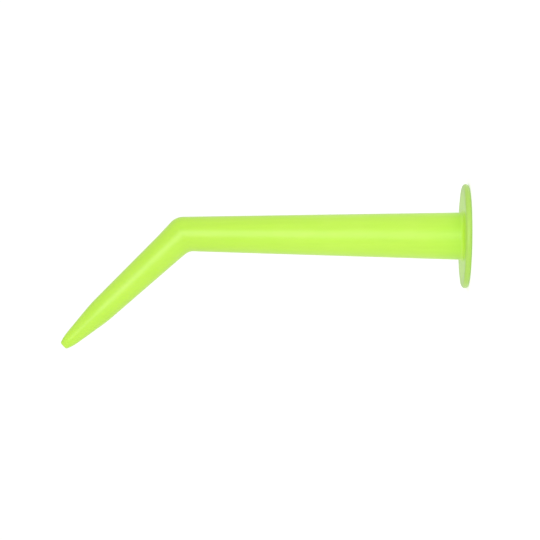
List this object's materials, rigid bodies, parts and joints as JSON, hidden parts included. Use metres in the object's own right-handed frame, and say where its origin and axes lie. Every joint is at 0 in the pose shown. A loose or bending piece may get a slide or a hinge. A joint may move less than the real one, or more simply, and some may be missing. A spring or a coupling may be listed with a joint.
{
  "type": "bent flanged dispensing tip",
  "caption": "Long tapered plastic tip with a thin round flange at its open end and an angled nozzle that narrows to a small outlet, hollow all the way through.",
  "frame": {"origin": "centre of the inlet bore's mouth, on the flange's seating face", "axes": "+Z along the barrel from the flange to the bend; the nozzle leans to -X and lies in the plane y = 0"},
  "size_m": [0.0194, 0.012, 0.0468],
  "materials": {
    "plastic": "slightly translucent lime green moulded plastic with a soft shine"
  },
  "bodies": {
    "root": {"flange": "plastic", "barrel": "plastic", "elbow": "plastic", "nozzle": "plastic", "nose": "plastic"}
  },
  "joints": []
}
